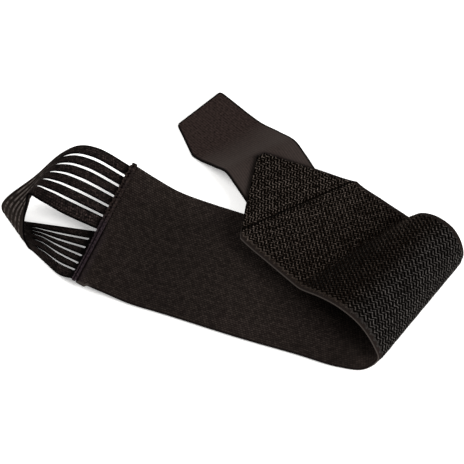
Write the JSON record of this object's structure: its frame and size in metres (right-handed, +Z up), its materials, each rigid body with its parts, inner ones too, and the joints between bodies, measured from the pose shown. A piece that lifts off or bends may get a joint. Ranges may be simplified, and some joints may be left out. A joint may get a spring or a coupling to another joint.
{
  "type": "wrist support wrap",
  "caption": "Elastic wrist support wrap lying open, rolled over on itself, with a slatted thumb loop at one end and a narrow closure tab under a pointed end.",
  "frame": {"origin": "middle of the footprint's box, on the surface that the wrap lies on", "axes": "+X from the thumb loop towards the rolled end, +Y away from the near edge towards the tab, +Z up"},
  "size_m": [0.23, 0.1797, 0.0263],
  "materials": {
    "pile_elastic": "black elastic, fine ribs inside and looped pile outside",
    "slatted_elastic": "black elastic strip cut in ribbed slats",
    "seam_binding": "black folded seam",
    "ribbed_tab": "dark brown-black fine ribbed cloth"
  },
  "bodies": {
    "root": {"main_band": "pile_elastic", "thumb_loop": "slatted_elastic", "loop_hem": "seam_binding", "closure_tab": "ribbed_tab"}
  },
  "joints": []
}
